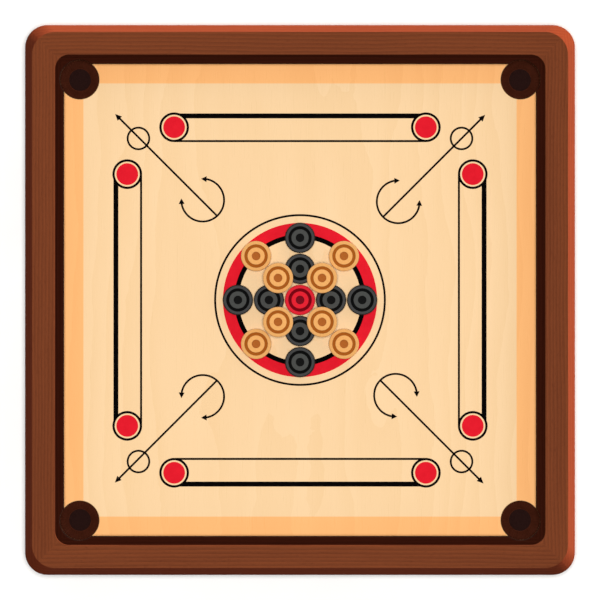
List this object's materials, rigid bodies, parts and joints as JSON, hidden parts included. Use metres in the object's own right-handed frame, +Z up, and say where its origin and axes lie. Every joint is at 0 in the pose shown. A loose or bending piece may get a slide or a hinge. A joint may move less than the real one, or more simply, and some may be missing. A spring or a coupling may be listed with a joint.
{
  "type": "carrom board",
  "caption": "Square wooden carrom board with a raised mitred frame, corner pockets with nets, a printed playing surface, and its men set out in the centre circle.",
  "frame": {"origin": "under the centre of the board, on the surface that it lies on", "axes": "+Z up out of the playing surface, +X to the east side, +Y to the north side"},
  "size_m": [0.56, 0.56, 0.044],
  "materials": {
    "rail_wood": "red-brown stained hardwood, satin lacquer",
    "spline_wood": "pale hardwood, satin lacquer",
    "strip_wood": "dark stained hardwood, satin lacquer",
    "panel_ply": "birch plywood, polished clear lacquer, printed",
    "batten_wood": "planed softwood, unfinished",
    "net_cord": "knitted dark brown cotton cord",
    "steel": "plated steel",
    "queen_wood": "turned wood, red lacquer",
    "black_wood": "turned wood, black lacquer",
    "tan_wood": "turned wood, clear lacquer"
  },
  "bodies": {
    "board": {"frame_rail_east": "rail_wood", "frame_rail_north": "rail_wood", "frame_rail_west": "rail_wood", "frame_rail_south": "rail_wood", "corner_spline_ne": "spline_wood", "corner_spline_nw": "spline_wood", "corner_spline_sw": "spline_wood", "corner_spline_se": "spline_wood", "cushion_strip_east": "strip_wood", "cushion_strip_north": "strip_wood", "cushion_strip_west": "strip_wood", "cushion_strip_south": "strip_wood", "playing_panel": "panel_ply", "batten_east_west": "batten_wood", "batten_north_south": "batten_wood", "batten_screws": "steel", "pocket_net_ne": "net_cord", "pocket_net_nw": "net_cord", "pocket_net_sw": "net_cord", "pocket_net_se": "net_cord", "net_tacks": "steel"},
    "queen": {"queen": "queen_wood"},
    "black_man_inner_east": {"black_man_inner_east": "black_wood"},
    "black_man_inner_north": {"black_man_inner_north": "black_wood"},
    "black_man_inner_west": {"black_man_inner_west": "black_wood"},
    "black_man_inner_south": {"black_man_inner_south": "black_wood"},
    "black_man_outer_east": {"black_man_outer_east": "black_wood"},
    "black_man_outer_north": {"black_man_outer_north": "black_wood"},
    "black_man_outer_west": {"black_man_outer_west": "black_wood"},
    "black_man_outer_south": {"black_man_outer_south": "black_wood"},
    "tan_man_inner_ne": {"tan_man_inner_ne": "tan_wood"},
    "tan_man_inner_nw": {"tan_man_inner_nw": "tan_wood"},
    "tan_man_inner_sw": {"tan_man_inner_sw": "tan_wood"},
    "tan_man_inner_se": {"tan_man_inner_se": "tan_wood"},
    "tan_man_outer_ne": {"tan_man_outer_ne": "tan_wood"},
    "tan_man_outer_nw": {"tan_man_outer_nw": "tan_wood"},
    "tan_man_outer_sw": {"tan_man_outer_sw": "tan_wood"},
    "tan_man_outer_se": {"tan_man_outer_se": "tan_wood"}
  },
  "joints": [
    {"name": "lift_queen", "type": "slide", "parent": "board", "child": "queen", "axis": [0, 0, 1], "range_m": [0, 0.04]},
    {"name": "lift_tan_man_inner_ne", "type": "slide", "parent": "board", "child": "tan_man_inner_ne", "axis": [0, 0, 1], "range_m": [0, 0.04]},
    {"name": "lift_tan_man_inner_nw", "type": "slide", "parent": "board", "child": "tan_man_inner_nw", "axis": [0, 0, 1], "range_m": [0, 0.04]},
    {"name": "lift_tan_man_inner_se", "type": "slide", "parent": "board", "child": "tan_man_inner_se", "axis": [0, 0, 1], "range_m": [0, 0.04]},
    {"name": "lift_tan_man_inner_sw", "type": "slide", "parent": "board", "child": "tan_man_inner_sw", "axis": [0, 0, 1], "range_m": [0, 0.04]},
    {"name": "slide_black_man_inner_east", "type": "slide", "parent": "board", "child": "black_man_inner_east", "axis": [0, -1, 0], "range_m": [0, 0.016]},
    {"name": "slide_black_man_inner_north", "type": "slide", "parent": "board", "child": "black_man_inner_north", "axis": [1, 0, 0], "range_m": [0, 0.016]},
    {"name": "slide_black_man_inner_south", "type": "slide", "parent": "board", "child": "black_man_inner_south", "axis": [-1, 0, 0], "range_m": [0, 0.016]},
    {"name": "slide_black_man_inner_west", "type": "slide", "parent": "board", "child": "black_man_inner_west", "axis": [0, 1, 0], "range_m": [0, 0.016]},
    {"name": "slide_black_man_outer_east", "type": "slide", "parent": "board", "child": "black_man_outer_east", "axis": [1, 0, 0], "range_m": [0, 0.16128]},
    {"name": "slide_black_man_outer_north", "type": "slide", "parent": "board", "child": "black_man_outer_north", "axis": [0, 1, 0], "range_m": [0, 0.16128]},
    {"name": "slide_black_man_outer_south", "type": "slide", "parent": "board", "child": "black_man_outer_south", "axis": [0, -1, 0], "range_m": [0, 0.16128]},
    {"name": "slide_black_man_outer_west", "type": "slide", "parent": "board", "child": "black_man_outer_west", "axis": [-1, 0, 0], "range_m": [0, 0.16128]},
    {"name": "slide_tan_man_outer_ne", "type": "slide", "parent": "board", "child": "tan_man_outer_ne", "axis": [0.7071, 0.7071, 0], "range_m": [0, 0.25346]},
    {"name": "slide_tan_man_outer_nw", "type": "slide", "parent": "board", "child": "tan_man_outer_nw", "axis": [-0.7071, 0.7071, 0], "range_m": [0, 0.25346]},
    {"name": "slide_tan_man_outer_se", "type": "slide", "parent": "board", "child": "tan_man_outer_se", "axis": [0.7071, -0.7071, 0], "range_m": [0, 0.25346]},
    {"name": "slide_tan_man_outer_sw", "type": "slide", "parent": "board", "child": "tan_man_outer_sw", "axis": [-0.7071, -0.7071, 0], "range_m": [0, 0.25346]}
  ]
}
